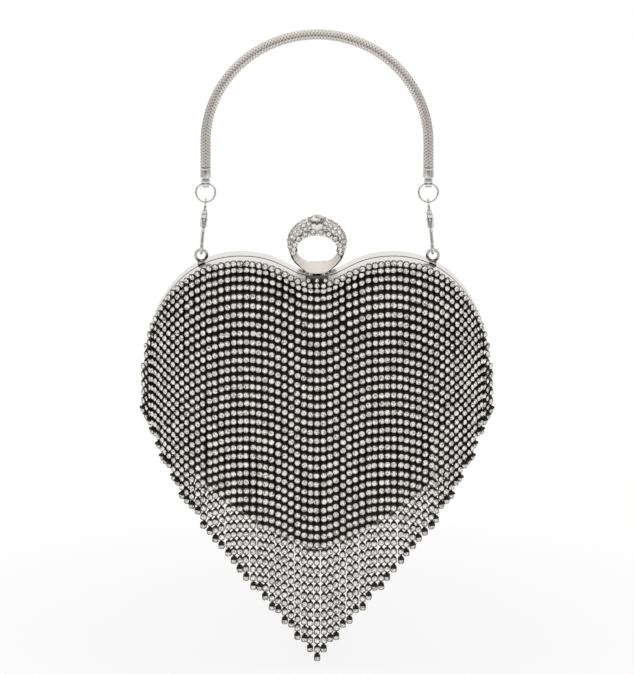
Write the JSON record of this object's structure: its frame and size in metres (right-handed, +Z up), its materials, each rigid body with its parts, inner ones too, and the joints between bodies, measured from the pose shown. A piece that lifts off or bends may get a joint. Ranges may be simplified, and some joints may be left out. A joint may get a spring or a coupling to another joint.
{
  "type": "clutch",
  "caption": "Heart-shaped evening clutch: rigid two-half case under hanging stone strands, finger-ring clasp, and a short chain handle on lobster clasps.",
  "frame": {"origin": "underside of the handle's arc at its middle, where a hand or a hook holds the clutch", "axes": "+Z up as it hangs, +X to the right seen from the front, the front of the case towards -Y"},
  "size_m": [0.1646, 0.0523, 0.3051],
  "materials": {
    "silver": "polished silver-tone plating on cast and pressed metal",
    "snake_chain": "silver-tone snake chain of close bands",
    "steel": "plain pins, rivets, wire and spring",
    "black_satin": "board dome covered in black satin",
    "lining_satin": "black satin lining on card",
    "stone_strand": "clear round stones in metal cups, linked in strands",
    "crystal": "clear cut stone"
  },
  "bodies": {
    "handle": {"handle_chain": "snake_chain", "handle_core": "steel", "end_cap_left": "silver", "end_cap_right": "silver"},
    "jump_ring_left": {"jump_ring_left": "silver"},
    "jump_ring_right": {"jump_ring_right": "silver"},
    "clasp_left": {"clasp_eye_left": "silver", "clasp_body_left": "silver", "clasp_rivet_left": "steel"},
    "clasp_right": {"clasp_eye_right": "silver", "clasp_body_right": "silver", "clasp_rivet_right": "steel"},
    "trigger_left": {"clasp_trigger_left": "silver"},
    "trigger_right": {"clasp_trigger_right": "silver"},
    "back_case": {"back_frame": "silver", "back_shell": "black_satin", "back_lining": "lining_satin", "slip_pocket": "lining_satin", "ear_left": "silver", "ear_right": "silver", "lever_bracket": "silver", "lever_pin": "steel", "lever_spring": "steel", "back_hinge_leaf": "silver", "hinge_pin": "steel"},
    "front_case": {"front_frame": "silver", "front_shell": "black_satin", "front_lining": "lining_satin", "front_hinge_leaf": "silver", "catch_stud": "silver", "strands_1": "stone_strand", "strands_2": "stone_strand", "strands_3": "stone_strand", "strands_4": "stone_strand", "strands_5": "stone_strand", "strands_6": "stone_strand"},
    "clasp_lever": {"lever_plate": "silver", "finger_ring": "silver", "ring_bezel": "silver", "ring_stone": "crystal"},
    "fringe_1": {"fringe_1": "stone_strand"},
    "fringe_2": {"fringe_2": "stone_strand"},
    "fringe_3": {"fringe_3": "stone_strand"},
    "fringe_4": {"fringe_4": "stone_strand"},
    "fringe_5": {"fringe_5": "stone_strand"},
    "fringe_6": {"fringe_6": "stone_strand"}
  },
  "joints": [
    {"name": "jump_ring_left_swing", "type": "hinge", "parent": "handle", "child": "jump_ring_left", "pos_m": [-0.05335, 0.0012, -0.071], "axis": [1, 0, 0], "range_deg": [-45, 45]},
    {"name": "jump_ring_right_swing", "type": "hinge", "parent": "handle", "child": "jump_ring_right", "pos_m": [0.05335, 0.0012, -0.071], "axis": [1, 0, 0], "range_deg": [-45, 45]},
    {"name": "clasp_left_swing", "type": "hinge", "parent": "jump_ring_left", "child": "clasp_left", "pos_m": [-0.05335, 0.0012, -0.08025], "axis": [1, 0, 0], "range_deg": [-45, 45]},
    {"name": "clasp_right_swing", "type": "hinge", "parent": "jump_ring_right", "child": "clasp_right", "pos_m": [0.05335, 0.0012, -0.08025], "axis": [1, 0, 0], "range_deg": [-45, 45]},
    {"name": "case_swing", "type": "hinge", "parent": "clasp_left", "child": "back_case", "pos_m": [0, 0.0012, -0.10376], "axis": [1, 0, 0], "range_deg": [-25, 25]},
    {"name": "trigger_left_press", "type": "hinge", "parent": "clasp_left", "child": "trigger_left", "pos_m": [-0.05411, 0.0018, -0.08912], "axis": [0.9963, 0, -0.0854], "range_deg": [0, 16], "stiffness_Nm_per_rad": 0.002, "springref_deg": -17.19},
    {"name": "trigger_right_press", "type": "hinge", "parent": "clasp_right", "child": "trigger_right", "pos_m": [0.05411, 0.0018, -0.08912], "axis": [0.9963, 0, 0.0854], "range_deg": [0, 16], "stiffness_Nm_per_rad": 0.002, "springref_deg": -17.19},
    {"name": "lid_open", "type": "hinge", "parent": "back_case", "child": "front_case", "pos_m": [0, 0, -0.25216], "axis": [1, 0, 0], "range_deg": [0, 75]},
    {"name": "lever_lift", "type": "hinge", "parent": "back_case", "child": "clasp_lever", "pos_m": [0, 0.0122, -0.11375], "axis": [1, 0, 0], "range_deg": [-35, 0], "stiffness_Nm_per_rad": 0.04, "springref_deg": 22.92},
    {"name": "fringe_1_swing", "type": "hinge", "parent": "front_case", "child": "fringe_1", "pos_m": [-0.07255, -0.02116, -0.17585], "axis": [1, 0, 0], "range_deg": [-60, 0]},
    {"name": "fringe_2_swing", "type": "hinge", "parent": "front_case", "child": "fringe_2", "pos_m": [-0.04586, -0.02665, -0.18428], "axis": [1, 0, 0], "range_deg": [-60, 0]},
    {"name": "fringe_3_swing", "type": "hinge", "parent": "front_case", "child": "fringe_3", "pos_m": [-0.01418, -0.0271, -0.19429], "axis": [1, 0, 0], "range_deg": [-60, 0]},
    {"name": "fringe_4_swing", "type": "hinge", "parent": "front_case", "child": "fringe_4", "pos_m": [0.01701, -0.02711, -0.19339], "axis": [1, 0, 0], "range_deg": [-60, 0]},
    {"name": "fringe_5_swing", "type": "hinge", "parent": "front_case", "child": "fringe_5", "pos_m": [0.04868, -0.02647, -0.18339], "axis": [1, 0, 0], "range_deg": [-60, 0]},
    {"name": "fringe_6_swing", "type": "hinge", "parent": "front_case", "child": "fringe_6", "pos_m": [0.07348, -0.02027, -0.17555], "axis": [1, 0, 0], "range_deg": [-60, 0]}
  ],
  "couplings": [
    {"joint": "jump_ring_right_swing", "follows": "jump_ring_left_swing", "ratio": 1},
    {"joint": "clasp_right_swing", "follows": "clasp_left_swing", "ratio": 1}
  ]
}
